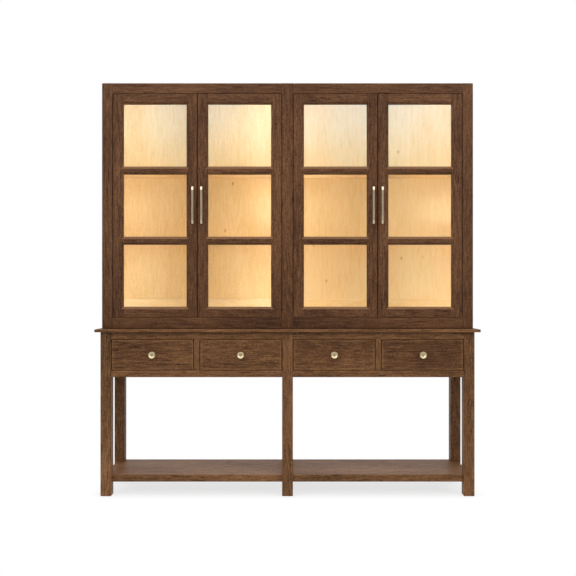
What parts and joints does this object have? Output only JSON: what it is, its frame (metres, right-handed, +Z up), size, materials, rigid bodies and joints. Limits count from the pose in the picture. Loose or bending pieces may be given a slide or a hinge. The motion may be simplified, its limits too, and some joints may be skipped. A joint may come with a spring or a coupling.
{
  "type": "dresser with hutch",
  "caption": "Wide wooden dresser: a legged base with drawers and an open low shelf, carrying a glazed, lit display hutch with paired hinged doors.",
  "frame": {"origin": "on the floor, at the middle of the piece's width and depth", "axes": "+Z up, -Y out of the front, +X to the right seen from the front"},
  "size_m": [2.032, 0.46, 2.196],
  "materials": {
    "dark_oak": "dark brown stained oak, matt lacquer",
    "pale_oak": "natural oak, matt lacquer",
    "drawer_wood": "plain sanded hardwood",
    "glass": "clear float glass",
    "brass": "satin champagne brass",
    "aluminium": "black anodised",
    "dark_steel": "blackened",
    "light_diffuser": "opal, lit warm white",
    "driver_case": "moulded",
    "nylon": "moulded"
  },
  "bodies": {
    "cabinet": {"base_top": "dark_oak", "leg_front_left": "dark_oak", "leg_front_centre": "dark_oak", "leg_front_right": "dark_oak", "leg_back_left": "dark_oak", "leg_back_centre": "dark_oak", "leg_back_right": "dark_oak", "front_rails": "dark_oak", "drawer_dividers": "dark_oak", "side_aprons": "dark_oak", "back_aprons": "dark_oak", "lower_shelf": "dark_oak", "hutch_uprights": "dark_oak", "hutch_top": "dark_oak", "face_frame_stiles": "dark_oak", "face_frame_rails": "dark_oak", "hutch_floor": "pale_oak", "hutch_back": "pale_oak", "back_cleats": "pale_oak", "hutch_shelves": "pale_oak", "drawer_runners": "drawer_wood", "foot_glides": "nylon", "shelf_pins": "brass", "frame_hinge_leaves": "dark_steel", "door_catches": "dark_steel", "led_channels": "aluminium", "led_diffusers": "light_diffuser", "led_driver": "driver_case"},
    "door_1": {"door_1_stiles": "dark_oak", "door_1_rails": "dark_oak", "door_1_glass": "glass", "door_1_handle": "brass", "door_1_hinge_leaves": "dark_steel"},
    "door_2": {"door_2_stiles": "dark_oak", "door_2_rails": "dark_oak", "door_2_glass": "glass", "door_2_handle": "brass", "door_2_hinge_leaves": "dark_steel"},
    "door_3": {"door_3_stiles": "dark_oak", "door_3_rails": "dark_oak", "door_3_glass": "glass", "door_3_handle": "brass", "door_3_hinge_leaves": "dark_steel"},
    "door_4": {"door_4_stiles": "dark_oak", "door_4_rails": "dark_oak", "door_4_glass": "glass", "door_4_handle": "brass", "door_4_hinge_leaves": "dark_steel"},
    "drawer_1": {"drawer_1_front": "dark_oak", "drawer_1_box": "drawer_wood", "drawer_1_knob": "brass"},
    "drawer_2": {"drawer_2_front": "dark_oak", "drawer_2_box": "drawer_wood", "drawer_2_knob": "brass"},
    "drawer_3": {"drawer_3_front": "dark_oak", "drawer_3_box": "drawer_wood", "drawer_3_knob": "brass"},
    "drawer_4": {"drawer_4_front": "dark_oak", "drawer_4_box": "drawer_wood", "drawer_4_knob": "brass"}
  },
  "joints": [
    {"name": "door_1_hinge", "type": "hinge", "parent": "cabinet", "child": "door_1", "pos_m": [-0.9185, -0.154, 0.949], "axis": [0, 0, -1], "range_deg": [0, 110]},
    {"name": "door_2_hinge", "type": "hinge", "parent": "cabinet", "child": "door_2", "pos_m": [-0.044, -0.154, 0.949], "axis": [0, 0, 1], "range_deg": [0, 90]},
    {"name": "door_3_hinge", "type": "hinge", "parent": "cabinet", "child": "door_3", "pos_m": [0.044, -0.154, 0.949], "axis": [0, 0, -1], "range_deg": [0, 90]},
    {"name": "door_4_hinge", "type": "hinge", "parent": "cabinet", "child": "door_4", "pos_m": [0.9185, -0.154, 0.949], "axis": [0, 0, 1], "range_deg": [0, 110]},
    {"name": "drawer_1_slide", "type": "slide", "parent": "cabinet", "child": "drawer_1", "axis": [0, -1, 0], "range_m": [0, 0.26]},
    {"name": "drawer_2_slide", "type": "slide", "parent": "cabinet", "child": "drawer_2", "axis": [0, -1, 0], "range_m": [0, 0.26]},
    {"name": "drawer_3_slide", "type": "slide", "parent": "cabinet", "child": "drawer_3", "axis": [0, -1, 0], "range_m": [0, 0.26]},
    {"name": "drawer_4_slide", "type": "slide", "parent": "cabinet", "child": "drawer_4", "axis": [0, -1, 0], "range_m": [0, 0.26]}
  ]
}
